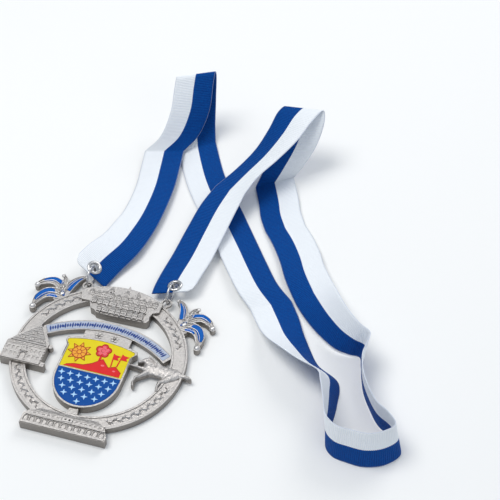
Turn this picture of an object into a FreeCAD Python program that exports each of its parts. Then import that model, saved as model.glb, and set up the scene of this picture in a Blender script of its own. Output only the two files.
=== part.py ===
import FreeCAD, Part
import math
import os

# Finisher medal on a two-colour neck ribbon, laid out on a flat surface.
# Millimetres. Origin: centre of the medal's rim, on the plane of its flat back.
# +X to the medal's right, +Y towards its lugs, +Z out of its face.

V = FreeCAD.Vector

# driving dimensions of the casting
RIM_OUTER = 43.5
RIM_INNER = 35.6
RIM_THICK = 4.0
RIM_LIP = 1.1
RIM_CHANNEL_DEPTH = 0.6
RELIEF_TOP = 5.2
SHIELD_TOP = 4.8
SHIELD_POCKET = 0.6
ENAMEL_GAP = 0.05
BANNER_CENTRE_Y = -36.0
BANNER_INNER = 51.5
BANNER_OUTER = 57.5
BANNER_BOTTOM = 0.6
BANNER_TOP = 3.6
MARK_START = 32.4
MARK_PITCH = 1.3
MARK_COUNT = 52
MARK_LEAN = 10
CAP_BOTTOM = 0.5
CAP_TOP = 3.8
CAP_ENAMEL_RISE = 0.3
RIGHT_CAP_TURN = -4.0
LEAF_PITCH = 5.2
SHIELD_X = -0.4
SHIELD_HALF = 16.9
SHIELD_FOOT_Y = -14.0
SHIELD_RIM = 1.0
DIVIDE_Y = -11.0
BAR_HALF = 0.3
FIELD_TOP = SHIELD_TOP - 0.2
MOTIF_TOP = SHIELD_TOP - 0.05
SUN_CENTRE = (-9.6, -0.8)
TREE_X = 1.6
TREE_Y = 3.0
STAR_REACH = 1.75
STAR_NOTCH = 0.6
STAR_TURN = 12

# lugs, jump rings and eyelets
LUG_X = 21.2
LUG_Y = 41.3
LUG_LOW = 2.35
LUG_HIGH = 3.65
LUG_HOLE_R = 1.9
LUG_R = 2.85
RING_R = 5.3
WIRE_R = 0.55
RING_CENTRE_Y = 45.6
RING_CENTRE_Z = 5.95
LEFT_RING_X = -20.9
RIGHT_RING_X = 21.75
RING_SPLIT = 0.25
EYELET_BORE_R = 2.3
EYELET_BARREL_R = 2.75
EYELET_FLANGE_R = 3.9
EYELET_FLANGE_THICK = 0.35

# ribbon
RIBBON_WIDTH = 22.0
RIBBON_THICK = 0.8
RIBBON_HOLE_R = 2.8

# The ribbon's route from its left end, round the neck loop, to its right end. Each row is the
# middle of the strip (x, y, z), then the way its width points from the white edge to the blue
# edge: the heading in degrees in the ground plane, and the slope in degrees.
ROUTE = [
    # left end, held up by the jump ring
    (-22.4, 46.8, 6.4, -19, -24), (-21.1, 51.2, 6.4, -19, -24), (-18.4, 59, 6.6, -17, -20),
    (-14, 71, 6, -13, -9), (-12, 84, 4.6, -7, -4), (-11, 98, 3.2, -1, 4),
    (-11.5, 119, 2.6, 4, 6), (-13.5, 134, 2.8, 9, 4), (-15.5, 147, 3.2, 14, 2),
    # left hump, up and over
    (-9, 155, 9, 20, 0), (-5, 164, 21.5, 19, 1), (-5, 172, 33, 19, 6), (-5, 176.5, 37.8, 19, 7),
    (-5, 178, 35, 19, 5), (-4, 173, 22, 21, 2), (-2, 165, 9, 30, 0), (1, 157, 1.6, 38, 1),
    # flat run under the right-hand strap
    (6, 147, 0.6, 30, 0), (13, 134, 0.6, 33, 0), (21, 122, 0.6, 37, 0), (30, 110.5, 0.6, 37, 0),
    (38, 99, 1, 35, -1), (45, 89, 1.8, 35, -5), (54, 76, 2.4, 36, -6), (63, 64, 3, 36, -8),
    (72, 56, 1.8, 32, -2), (78, 47, 2.5, 32, -5),
    # rises on its blue edge into the neck loop
    (84.5, 36, 6, 35, -21), (92, 28, 7.6, 42, -39), (100, 20.5, 9.3, 50, -51),
    (111.5, 14.5, 9.8, 39, -56), (114.2, 5, 10.6, 8, -66), (116, -5, 11.2, -4, -74),
    (118, -16.5, 11.2, -40, -84), (123, -21, 11.2, -85, -84), (130, -22, 11.2, -89, -81),
    (138, -22, 11.2, -85, -79), (146, -18.5, 11.2, -50, -77), (151, -12, 11.2, -12, -77),
    (146.5, -6, 11.4, 14, -80), (139, -1, 11.4, 26, -83), (133, 7, 11.4, 29, -84),
    (128.5, 15.5, 11.4, 27, -86), (126, 24, 11.4, 20, -88), (125.5, 32, 11.4, 184, -84),
    (124.5, 37, 11.3, 180, -80), (119, 38.5, 11.8, 219, -76), (112.5, 42, 11.6, 236, -63),
    (105, 49, 10.4, 236, -50), (98.5, 57.5, 7.6, 230, -36), (91.5, 67.5, 4.6, 224, -18),
    # flat run back to the right hump
    (83.5, 80, 4, 216, -6), (78, 91, 3, 211, -4), (71.5, 101.5, 2.2, 209, -3),
    (65, 110, 1.4, 205, -3), (60, 119, 1.4, 205, -4), (56.5, 128, 1.6, 207, -5),
    (50.5, 141.5, 1.8, 211, -5),
    # right hump, up and over
    (54, 145.5, 9, 207, 4), (59.5, 154, 22, 194, 0), (61, 164.5, 31.5, 184, -8),
    (59.5, 168.5, 35.4, 176, -10), (56, 163, 34, 165, -10), (51.5, 153, 27.5, 150, -14),
    (45, 143, 19.8, 141, -22), (37, 132, 13.5, 143, -26),
    # right-hand strap, over the flat run, to the right end
    (31, 121, 10, 156, -20), (28, 108, 7.8, 167, -13), (26, 92, 5.6, 174, -10),
    (24.5, 74, 4.6, 180, -9), (23, 59, 5.6, 189, -8), (22.6, 51.2, 6.2, 194, -8),
    (22.9, 46.8, 6.2, 194, -8),
]


def wire_from(points):
    return Part.makePolygon([V(x, y, 0) for x, y in points + points[:1]])


def plate(points, low, high):
    """Flat plate with a straight-sided outline."""
    face = Part.Face(wire_from(points))
    face.translate(V(0, 0, low))
    return face.extrude(V(0, 0, high - low))


def disc(x, y, radius, low, high):
    return Part.makeCylinder(radius, high - low, V(x, y, low))


def washer(outer, inner, low, high):
    return disc(0, 0, outer, low, high).cut(disc(0, 0, inner, low - 1, high + 1))


def arc_points(x, y, radius, start, stop, steps):
    """Points along an arc, angles in degrees."""
    turn = (stop - start) / steps
    angles = [math.radians(start + turn * i) for i in range(steps + 1)]
    return [(x + radius * math.cos(a), y + radius * math.sin(a)) for a in angles]


def fuse_all(shapes):
    whole = shapes[0]
    for shape in shapes[1:]:
        whole = whole.fuse(shape)
    return whole.removeSplitter()


def clear_of(shape, others):
    for other in others:
        shape = shape.cut(other)
    return shape


# ---------------------------------------------------------------- casting

def rim_blank():
    """The rim's full section, before its channel is sunk."""
    return washer(RIM_OUTER, RIM_INNER, 0, RIM_THICK)


def rim_ring():
    """Flat rim with a recessed channel between two raised lips."""
    channel = washer(RIM_OUTER - RIM_LIP, RIM_INNER + RIM_LIP,
                     RIM_THICK - RIM_CHANNEL_DEPTH, RIM_THICK + 1)
    return rim_blank().cut(channel)


def leaf(radius, degrees, length, width, low, high, tilt):
    """Small pointed leaf plate, standing along a circle about the origin."""
    half_l = length / 2
    half_w = width / 2
    outline = [(-half_l, 0), (-half_l / 3, -half_w), (half_l / 3, -half_w),
               (half_l, 0), (half_l / 3, half_w), (-half_l / 3, half_w)]
    shape = plate(outline, low, high)
    shape.rotate(V(0, 0, 0), V(0, 0, 1), tilt)
    shape.translate(V(0, radius, 0))
    shape.rotate(V(0, 0, 0), V(0, 0, 1), degrees)
    return shape


def rim_relief():
    """Raised leaves in the rim's channel, in the four stretches between the plaques."""
    middle = (RIM_OUTER + RIM_INNER) / 2
    low = RIM_THICK - RIM_CHANNEL_DEPTH
    leaves = []
    for start, count in [(36.5, 6), (115.0, 8), (-152.0, 10), (-65.0, 6)]:
        for i in range(count):
            tilt = 38 if i % 2 else -38
            leaves.append(leaf(middle, start + LEAF_PITCH * i, 3.4, 1.9, low, RIM_THICK + 0.1, tilt))
    return Part.makeCompound(leaves)


def town_plaque(rim):
    """Plaque over the top of the rim, with a skyline and a stepped lower edge."""
    top = arc_points(0, 0, RIM_OUTER + 0.2, 62.5, 121.5, 12)
    foot = [(-20.6, 31), (-16.2, 31.2), (-15.6, 29.4), (-14.4, 27), (-12, 26.2), (-11, 25),
            (-5.5, 24.6), (14.2, 24.8), (16, 25.2), (16.8, 27), (16.4, 29), (17, 31.6), (20, 33)]
    spire = [(-1.4, 42.5), (2.6, 42.5), (1.4, 44.4), (0.2, 46.6), (-0.4, 44.6)]
    board = plate(top + foot, 0, RELIEF_TOP).fuse(plate(spire, 0.6, RELIEF_TOP - 1.2))
    return board.cut(rim).removeSplitter()


def house(x, y, width, wall, roof, depth):
    """House front in low relief: a wall block under a stepped-back gable."""
    half = width / 2
    front = plate([(x - half, y), (x + half, y), (x + half, y + wall), (x - half, y + wall)],
                  RELIEF_TOP, RELIEF_TOP + depth)
    gable = plate([(x - half - 0.3, y + wall), (x + half + 0.3, y + wall), (x, y + wall + roof)],
                  RELIEF_TOP, RELIEF_TOP + depth * 0.6)
    return front.fuse(gable)


def town_houses():
    """Three rows of house fronts standing on the town plaque."""
    rows = [(25.6, -9.5, 4.0, 6, 2.4, 1.9), (30.6, -14.5, 3.7, 9, 2.3, 1.8),
            (35.8, -13.8, 4.2, 7, 2.6, 2.0)]
    fronts = []
    for row, (y, x_first, pitch, count, wall, roof) in enumerate(rows):
        for i in range(count):
            lift = 0.5 * ((i + row) % 3)
            fronts.append(house(x_first + pitch * i, y, pitch - 1.0, wall + lift, roof, 0.5))
    return Part.makeCompound(fronts)


def gatehouse_plaque(rim):
    """Gabled gatehouse silhouette over the left of the rim."""
    outline = [(-46, -14.6), (-46.3, -9), (-46.3, -3.6), (-44.2, -1.4), (-41.5, 2.4),
               (-37.5, 6.2), (-33.4, 9.6), (-30.2, 6.6), (-27.6, 3), (-25.4, -0.6),
               (-25.2, -12.2), (-23.2, -12.2), (-23.2, -14.6)]
    knob = disc(-24.6, -1.6, 1.3, 1.2, RELIEF_TOP - 0.8)
    return plate(outline, 0, RELIEF_TOP).fuse(knob).cut(rim).removeSplitter()


def gatehouse_details():
    """Roof, string course, doorway and windows of the gatehouse, in low relief."""
    top = RELIEF_TOP
    roof = plate([(-44.6, -2.6), (-26.6, -2.6), (-33.4, 8.2)], top, top + 0.45)
    course = plate([(-45.6, -4.6), (-25.8, -4.6), (-25.8, -3.4), (-45.6, -3.4)], top, top + 0.6)
    pieces = [roof, course]
    for x in (-43.4, -39.6, -31.8, -28.2):
        frame = plate([(x - 1.1, -8.8), (x + 1.1, -8.8), (x + 1.1, -5.6), (x - 1.1, -5.6)],
                      top, top + 0.35)
        pieces.append(frame)
    arch = [(-33.8, -13.4)] + arc_points(-35.6, -9.6, 1.8, 0, 180, 8) + [(-37.4, -13.4)]
    pieces.append(plate(arch, top, top + 0.35))
    step = plate([(-45.4, -14.4), (-23.8, -14.4), (-23.8, -13.6), (-45.4, -13.6)], top, top + 0.4)
    pieces.append(step)
    return Part.makeCompound(pieces)


def town_hall_plaque(rim):
    """Long plaque under the rim, with notched upper corners."""
    outline = [(-22, -47.4), (20.4, -47.4), (20.4, -44.6), (19, -42), (18, -39.6), (14.6, -37.4),
               (-15, -37.4), (-19.8, -39.8), (-22, -41.6)]
    return plate(outline, 0, RELIEF_TOP).cut(rim).removeSplitter()


def town_hall_details():
    """Arcade of round-headed arches between two string courses, in low relief."""
    top = RELIEF_TOP
    pieces = []
    for y, reach in [(-46.9, 20.4), (-41.2, 17.0), (-38.4, 14.2)]:
        bar = plate([(-reach - 0.8, y), (reach - 0.8, y), (reach - 0.8, y + 0.6), (-reach - 0.8, y + 0.6)],
                    top, top + 0.5)
        pieces.append(bar)
    for i in range(11):
        x = -15.8 + 3.0 * i
        arch = [(x + 0.95, -45.6)] + arc_points(x, -43.2, 0.95, 0, 180, 8) + [(x - 0.95, -45.6)]
        pieces.append(plate(arch, top, top + 0.4))
    for i in range(9):
        x = -12.8 + 3.0 * i
        window = [(x - 0.6, -40.2), (x + 0.6, -40.2), (x + 0.6, -38.9), (x - 0.6, -38.9)]
        pieces.append(plate(window, top, top + 0.35))
    return Part.makeCompound(pieces)


def horse_relief(rim, shield):
    """Leaping horse across the right of the rim, its forelegs reaching to the shield."""
    back = [(20.2, 2.2), (21, 3.8), (22.8, 5), (24, 6.2), (25, 5), (28, 5.6), (31, 4.6),
            (34, 3.8), (38, 3.2), (42, 1.8), (44.4, 0.8), (46.4, 1.2), (47.9, 0), (48, -1.8),
            (46.6, -3), (44.4, -2.2)]
    belly = [(41, -4), (37, -5), (35.4, -8), (34.8, -12.6), (33.2, -13.2), (32.4, -8.6),
             (31.6, -6), (29.6, -5), (27, -4.6), (25, -5.4), (23.4, -7), (22.7, -9.5),
             (23.2, -13), (21.4, -13.8), (20.3, -11), (20.6, -8), (22, -5.4), (24, -3.6),
             (22, -2.1), (19, -1.9), (15.8, -1.9), (15.8, -0.5), (19.5, -0.3), (22, 0.2), (21.6, 1.4)]
    return clear_of(plate(back + belly, 0.4, RELIEF_TOP), [rim, shield]).removeSplitter()


def shield_outline(inset):
    """Shield with a bowed top edge, two ears and a round foot."""
    middle = SHIELD_X
    half = SHIELD_HALF - inset
    ear = SHIELD_HALF + 1.3 - inset
    bow = (ear * ear + 2.6 * 2.6) / (2 * 2.6)
    spread = math.degrees(math.asin(ear / bow))
    top = arc_points(middle, 9.5 - inset - bow, bow, 90 - spread, 90 + spread, 10)
    foot_r = 18.0 - inset
    angles = [math.radians(180 + 180 / 20 * i) for i in range(21)]
    foot = [(middle + half * math.cos(a), SHIELD_FOOT_Y + foot_r * math.sin(a)) for a in angles]
    left_ear = [(middle - ear - 0.3, 5.0 - inset * 0.5), (middle - half, 3.2 - inset)]
    right_ear = [(middle + half, 3.2 - inset), (middle + ear + 0.3, 5.0 - inset * 0.5)]
    return top + left_ear + foot + right_ear


def field(inset, low, high, above):
    """Part of the shield's inside, above or below the dividing bar."""
    whole = plate(shield_outline(inset), low, high)
    edge = DIVIDE_Y + (BAR_HALF + inset - SHIELD_RIM) * (1 if above else -1)
    y_low, y_high = (edge, 20) if above else (-40, edge)
    window = plate([(-30, y_low), (30, y_low), (30, y_high), (-30, y_high)], low, high)
    return whole.common(window)


def shield_plate():
    """Thick shield with a raised border and a bar between its two enamel pockets."""
    floor = SHIELD_TOP - SHIELD_POCKET
    body = plate(shield_outline(0), 0, SHIELD_TOP)
    pockets = [field(SHIELD_RIM, floor, SHIELD_TOP + 1, above) for above in (True, False)]
    return clear_of(body, pockets)


def field_enamel(above):
    floor = SHIELD_TOP - SHIELD_POCKET
    return field(SHIELD_RIM + ENAMEL_GAP, floor, FIELD_TOP, above)


def sun_disc():
    """Orange disc with eight short rays, left of centre in the upper field."""
    x, y = SUN_CENTRE
    disc_body = disc(x, y, 3.4, FIELD_TOP, MOTIF_TOP)
    rays = []
    for i in range(8):
        ray = plate([(3.9, -0.9), (6.0, 0), (3.9, 0.9)], FIELD_TOP, MOTIF_TOP)
        ray.rotate(V(0, 0, 0), V(0, 0, 1), 45 * i)
        ray.translate(V(x, y, 0))
        rays.append(ray)
    return Part.makeCompound([disc_body] + rays)


def hill_range():
    """Red rolling hills along the foot of the upper field."""
    low_edge = DIVIDE_Y + BAR_HALF + 0.4
    crest = [(14.2, low_edge + 2.6), (10.5, low_edge + 5.6), (7.2, low_edge + 4.2),
             (3.2, low_edge + 8.4), (-1.2, low_edge + 4.6), (-5.2, low_edge + 2.6),
             (-9.6, low_edge + 2.2), (-13.4, low_edge + 0.9)]
    return plate([(-14.4, low_edge), (14.2, low_edge)] + crest, FIELD_TOP, MOTIF_TOP)


def tree():
    """Round-headed tree on the highest hill: five lobes about a middle, on a short trunk."""
    lobes = [disc(TREE_X, TREE_Y, 2.4, FIELD_TOP, MOTIF_TOP)]
    for i in range(5):
        angle = math.radians(90 + 72 * i)
        x, y = TREE_X + 2.3 * math.cos(angle), TREE_Y + 2.3 * math.sin(angle)
        lobes.append(disc(x, y, 1.7, FIELD_TOP, MOTIF_TOP))
    foot = -4.5
    sides = [(TREE_X - 0.6, foot), (TREE_X + 0.6, foot), (TREE_X + 0.4, TREE_Y), (TREE_X - 0.4, TREE_Y)]
    trunk = plate(sides, FIELD_TOP, MOTIF_TOP)
    return fuse_all(lobes + [trunk])


def pennant(x, y, lean):
    """Slanted pole with a swallow-tailed flag near its top."""
    pole = plate([(x - 0.3, y), (x + 0.3, y), (x + lean + 0.3, y + 8), (x + lean - 0.3, y + 8)],
                 FIELD_TOP, MOTIF_TOP)
    left, top = x + lean * 0.95, y + 7.6
    flag = plate([(left, top), (left - 0.3 * lean, top - 3.0), (left + 3.2, top - 3.1),
                  (left + 2.3, top - 1.7), (left + 3.6, top - 0.5)], FIELD_TOP, MOTIF_TOP)
    return fuse_all([pole, flag])


def upper_motif():
    """Red pieces of the upper field: hills, a tree and two pennants."""
    hills = fuse_all([hill_range(), tree()])
    return Part.makeCompound([hills, pennant(8.2, -5.2, -0.8), pennant(11, -4.6, 0.7)])


def stars():
    """Rows of small four-pointed stars across the lower field, fewer towards its foot."""
    rows = [(-14.2, 7, 4.4), (-18.0, 6, 4.8), (-21.8, 5, 5.0), (-25.4, 4, 5.2), (-28.8, 1, 5.0)]
    made = []
    for y, count, pitch in rows:
        for i in range(count):
            x = SHIELD_X + pitch * (i - (count - 1) / 2)
            outline = []
            for k in range(8):
                reach = STAR_NOTCH if k % 2 else STAR_REACH
                angle = math.radians(STAR_TURN + 45 * k)
                outline.append((x + reach * math.cos(angle), y + reach * math.sin(angle)))
            made.append(plate(outline, FIELD_TOP, MOTIF_TOP))
    return Part.makeCompound(made)


def shield_stem(rim, shield):
    post = plate([(-3.2, -36.2), (2.4, -36.2), (1.6, -30.5), (-2.4, -30.5)], 0.4, 3.4)
    return clear_of(post, [rim, shield])


def banner_band(inner, outer, low, high, reach):
    """Sector of the banner's arch, centred far below it."""
    a_left, a_right = reach
    edge = arc_points(0, BANNER_CENTRE_Y, outer, a_right, a_left, 30)
    back = arc_points(0, BANNER_CENTRE_Y, inner, a_left, a_right, 30)
    return plate(edge + back, low, high)


def banner_arch(neighbours):
    """Arched banner across the rim, with a shallow tray for its enamel."""
    band = banner_band(BANNER_INNER, BANNER_OUTER, BANNER_BOTTOM, BANNER_TOP, (126, 52))
    inside = disc(0, 0, RIM_INNER, 0, RIM_THICK + 1)
    tray = banner_band(BANNER_INNER + 0.7, BANNER_OUTER - 0.7, BANNER_TOP - 0.4, BANNER_TOP + 1,
                       (124.3, 53.6))
    return clear_of(band.common(inside), neighbours + [tray])


def banner_enamel(neighbours):
    gap = 0.7 + ENAMEL_GAP
    sheet = banner_band(BANNER_INNER + gap, BANNER_OUTER - gap, BANNER_TOP - 0.4, BANNER_TOP - 0.1,
                        (124.2, 53.7))
    inside = disc(0, 0, RIM_INNER, 0, RIM_THICK + 1)
    return clear_of(sheet.common(inside), neighbours)


def banner_marks():
    """Navy frieze along the banner: bars of two lengths, with a diamond after every five."""
    middle = (BANNER_INNER + BANNER_OUTER) / 2
    low = BANNER_TOP - 0.1
    marks = []
    for i in range(MARK_COUNT):
        degrees = MARK_START - MARK_PITCH * i
        if i % 6 == 5:
            marks.append(leaf(middle, degrees, 2.1, 1.25, low, low + 0.15, 90))
        else:
            length = 3.4 if i % 6 in (0, 3) else 2.4
            marks.append(leaf(middle, degrees, length, 0.85, low, low + 0.15, 90 - MARK_LEAN))
    band = Part.makeCompound(marks)
    band.translate(V(0, BANNER_CENTRE_Y, 0))
    return band


def banner_tablet(neighbours):
    """Small tablet that joins the banner to the shield's top edge."""
    return clear_of(plate([(-12, 6), (12.4, 6), (12.4, 17), (-12, 17)], 0.6, 3.2), neighbours)


def tablet_studs():
    """Two five-leaved rosettes on the tablet."""
    studs = []
    for centre_x in (-4.4, 3.8):
        for i in range(5):
            angle = math.radians(90 + 72 * i)
            studs.append(disc(centre_x + 1.2 * math.cos(angle), 12.4 + 1.2 * math.sin(angle), 0.65, 3.2, 3.6))
    return Part.makeCompound(studs)


# ---------------------------------------------------------------- cap ornaments

def horn(points, widths, low, high):
    """Tapering curved tongue about a centre line, with the given widths along it."""
    left, right = [], []
    for i, (x, y) in enumerate(points):
        before = points[max(i - 1, 0)]
        after = points[min(i + 1, len(points) - 1)]
        dx, dy = after[0] - before[0], after[1] - before[1]
        length = math.hypot(dx, dy)
        nx, ny = -dy / length * widths[i] / 2, dx / length * widths[i] / 2
        left.append(V(x + nx, y + ny, low))
        right.append(V(x - nx, y - ny, low))
    edges = []
    for side in (left, right):
        curve = Part.BSplineCurve()
        curve.interpolate(side)
        edges.append(curve.toShape())
    edges.append(Part.makeLine(left[0], right[0]))
    edges.append(Part.makeLine(left[-1], right[-1]))
    face = Part.Face(Part.Wire(Part.__sortEdges__(edges)))
    return face.extrude(V(0, 0, high - low))


def place_cap(shape, right_hand):
    """The caps are modelled on the left; the right one is its mirror image, turned a little."""
    if not right_hand:
        return shape
    mirrored = shape.mirror(V(0, 0, 0), V(1, 0, 0))
    mirrored.rotate(V(0, 0, 0), V(0, 0, 1), RIGHT_CAP_TURN)
    return mirrored


def cap_ornament(right_hand):
    """Four curled horns from one root, two of them ending in bells."""
    low, high = CAP_BOTTOM, CAP_TOP
    horns = [
        horn([(-31, 31.5), (-30, 37), (-28.3, 41.5), (-26, 44.6), (-23.8, 45.9)],
             [5.5, 5, 4.2, 2.8, 1.4], low, high),
        horn([(-32.5, 34), (-33, 39), (-33.7, 42.2), (-35.2, 43.8)], [3.5, 3, 2.2, 1.2], low, high),
        horn([(-32, 33.5), (-35, 37.6), (-39, 39.4), (-43, 38), (-45.8, 35.6)],
             [5, 5.4, 5, 3.8, 2.2], low, high),
        horn([(-31, 31), (-35.5, 31.8), (-39.6, 30.8), (-42.4, 27), (-43.3, 22.4)],
             [5.5, 6.4, 6.2, 4.8, 2.2], low, high),
    ]
    bells = [disc(-46.2, 34.9, 1.5, low, high + 0.2), disc(-43.4, 20.8, 1.7, low, high + 0.2)]
    root = disc(-32.2, 30.4, 3.6, low, high)
    return place_cap(fuse_all(horns + bells + [root]).cut(rim_blank()), right_hand)


def cap_enamel(right_hand):
    """Blue stripes laid along the outer side of each horn."""
    low, high = CAP_TOP, CAP_TOP + CAP_ENAMEL_RISE
    stripes = [
        horn([(-29.6, 35.2), (-28.6, 39), (-27.2, 42.2), (-25.3, 44.5)], [2.0, 2.9, 2.5, 1.0], low, high),
        horn([(-33.9, 38.6), (-37.4, 40.3), (-41, 39.8), (-43.8, 38.0)], [1.6, 2.7, 2.5, 1.2], low, high),
        horn([(-36, 33), (-39.8, 32), (-42.3, 28.9), (-43.5, 25)], [1.8, 3.3, 3.2, 1.4], low, high),
        horn([(-33.6, 29.4), (-36.4, 30), (-38.8, 28.7)], [1.2, 2.2, 1.0], low, high),
        horn([(-32.6, 34.6), (-31.4, 32.6), (-30.6, 31.2)], [0.8, 1.6, 0.8], low, high),
    ]
    return place_cap(Part.makeCompound(stripes), right_hand)


# ---------------------------------------------------------------- lugs, rings, eyelets

def lug(side):
    """Flat eye beyond the rim's edge, with a neck back to the casting."""
    x = side * LUG_X
    direction = V(x, LUG_Y, 0).normalize()
    root = direction * (RIM_OUTER - 0.5)
    across = V(-direction.y, direction.x, 0) * 2.3
    tip = V(x, LUG_Y, 0)
    corners = [root + across, root - across, tip - across, tip + across]
    neck = plate([(p.x, p.y) for p in corners], LUG_LOW, LUG_HIGH)
    eye = neck.fuse(disc(x, LUG_Y, LUG_R, LUG_LOW, LUG_HIGH))
    hole = disc(x, LUG_Y, LUG_HOLE_R, LUG_LOW - 1, LUG_HIGH + 1)
    return clear_of(eye, [hole, rim_blank()]).removeSplitter()


def jump_ring(x):
    """Round-wire ring standing on edge, with the fine split it was closed at."""
    centre = V(x, RING_CENTRE_Y, RING_CENTRE_Z)
    torus = Part.makeTorus(RING_R, WIRE_R, centre, V(1, 0, 0))
    split = Part.makeBox(4 * WIRE_R, RING_SPLIT, 4 * WIRE_R,
                         centre + V(-2 * WIRE_R, 1.5, RING_R * 0.95 - 2 * WIRE_R))
    return torus.cut(split)


def strip_frame(index):
    """Middle point, width direction and face normal of the ribbon at a row of its route."""
    x, y, z, heading, slope = ROUTE[index]
    before = V(*ROUTE[max(index - 1, 0)][:3])
    after = V(*ROUTE[min(index + 1, len(ROUTE) - 1)][:3])
    a, s = math.radians(heading), math.radians(slope)
    width = V(math.cos(a) * math.cos(s), math.sin(a) * math.cos(s), math.sin(s))
    normal = width.cross(after - before).normalize()
    return V(x, y, z), width, normal


def along_normal(shape, index):
    """Moves a shape built on the Z axis to an eyelet's place on the ribbon."""
    centre, width, normal = strip_frame(index)
    turn = FreeCAD.Rotation(V(0, 0, 1), normal if normal.z > 0 else normal * -1)
    shape.Placement = FreeCAD.Placement(centre, turn)
    return shape


def eyelet(index):
    """Barrel through the ribbon with a rolled flange on the face."""
    half = RIBBON_THICK / 2 + EYELET_FLANGE_THICK
    barrel = Part.makeCylinder(EYELET_BARREL_R, 2 * half, V(0, 0, -half))
    flange = Part.makeCylinder(EYELET_FLANGE_R, EYELET_FLANGE_THICK, V(0, 0, RIBBON_THICK / 2))
    flange = flange.makeFillet(0.16, [e for e in flange.Edges if e.Curve.TypeId == "Part::GeomCircle"
                                      and e.CenterOfMass.z > half - 0.01])
    bore = Part.makeCylinder(EYELET_BORE_R, 4 * half, V(0, 0, -2 * half))
    return along_normal(barrel.fuse(flange).cut(bore).removeSplitter(), index)


def eyelet_washer(index):
    """Flat washer that the barrel is set over on the ribbon's back."""
    half = RIBBON_THICK / 2 + EYELET_FLANGE_THICK
    ring = Part.makeCylinder(EYELET_FLANGE_R, EYELET_FLANGE_THICK, V(0, 0, -half))
    bore = Part.makeCylinder(EYELET_BARREL_R + 0.02, 4, V(0, 0, -2))
    return along_normal(ring.cut(bore), index)


# ---------------------------------------------------------------- ribbon

def strip_corners(index):
    """Four corners of the ribbon's cross-section at a row of its route."""
    centre, width, normal = strip_frame(index)
    across = width * (RIBBON_WIDTH / 2)
    up = normal * (RIBBON_THICK / 2)
    return [centre - across - up, centre - across + up, centre + across + up, centre + across - up]


def ribbon(eyelets):
    """Thin closed strip, faceted from one cross-section of the route to the next."""
    sections = [strip_corners(index) for index in range(len(ROUTE))]
    faces = [Part.Face(Part.makePolygon(end + end[:1])) for end in (sections[0], sections[-1])]
    for near, far in zip(sections, sections[1:]):
        for i in range(4):
            j = (i + 1) % 4
            faces.append(Part.Face(Part.makePolygon([near[i], near[j], far[j], near[i]])))
            faces.append(Part.Face(Part.makePolygon([near[i], far[j], far[i], near[i]])))
    shell = Part.makeCompound(faces)
    shell.sewShape()
    strip = Part.Solid(shell.Shells[0])
    if strip.Volume < 0:
        strip.reverse()
    for index in (1, len(ROUTE) - 2):
        hole = Part.makeCylinder(RIBBON_HOLE_R, 6, V(0, 0, -3))
        strip = strip.cut(along_normal(hole, index))
    return clear_of(strip, eyelets)


def medal_nodes():
    rim = rim_ring()
    shield = shield_plate()
    gatehouse = gatehouse_plaque(rim)
    horse = horse_relief(rim, shield)
    town = town_plaque(rim)
    neighbours = [rim, gatehouse, horse]
    banner = banner_arch(neighbours)
    lugs = {"left_lug": lug(-1), "right_lug": lug(1)}
    nodes = {
        "rim_ring": rim,
        "rim_relief": rim_relief(),
        "town_plaque": clear_of(town, list(lugs.values())),
        "town_houses": town_houses(),
        "gatehouse_plaque": gatehouse,
        "gatehouse_details": gatehouse_details(),
        "town_hall_plaque": town_hall_plaque(rim),
        "town_hall_details": town_hall_details(),
        "horse_relief": horse,
        "banner_arch": banner,
        "banner_enamel": banner_enamel(neighbours),
        "banner_marks": banner_marks(),
        "banner_tablet": banner_tablet([banner, shield]),
        "tablet_studs": tablet_studs(),
        "shield_plate": shield,
        "shield_stem": shield_stem(rim, shield),
        "shield_upper_enamel": field_enamel(True),
        "shield_lower_enamel": field_enamel(False),
        "shield_sun": sun_disc(),
        "shield_hills": upper_motif(),
        "shield_stars": stars(),
    }
    for name, right_hand in (("left", False), ("right", True)):
        cap = clear_of(cap_ornament(right_hand), list(lugs.values()))
        nodes[name + "_cap_ornament"] = cap
        nodes[name + "_cap_enamel"] = cap_enamel(right_hand)
    nodes.update(lugs)
    return nodes


def ribbon_nodes():
    last = len(ROUTE) - 2
    nodes = {
        "left_eyelet": eyelet(1),
        "left_eyelet_washer": eyelet_washer(1),
        "right_eyelet": eyelet(last),
        "right_eyelet_washer": eyelet_washer(last),
    }
    nodes["ribbon"] = ribbon(list(nodes.values()))
    nodes["left_jump_ring"] = jump_ring(LEFT_RING_X)
    nodes["right_jump_ring"] = jump_ring(RIGHT_RING_X)
    return nodes


def main():
    os.makedirs("parts", exist_ok=True)
    nodes = medal_nodes()
    nodes.update(ribbon_nodes())
    for name, shape in nodes.items():
        shape.exportStep("parts/" + name + ".step")
        print("%-22s valid %-5s solids %3d volume %9.1f mm3 lowest %6.2f" % (
            name, shape.isValid(), len(shape.Solids), shape.Volume, shape.BoundBox.ZMin))


main()
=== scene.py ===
"""Looks of a finisher medal on its neck ribbon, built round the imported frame.

Blender works in metres, in the frame's own axes: the medal lies face up about the origin.
Cast details are drawn in millimetres on the medal's face and scaled by MM as they become meshes.
"""

import math
import random

import bmesh
import bpy
import numpy as np
from mathutils import Matrix, Vector, noise


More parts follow.
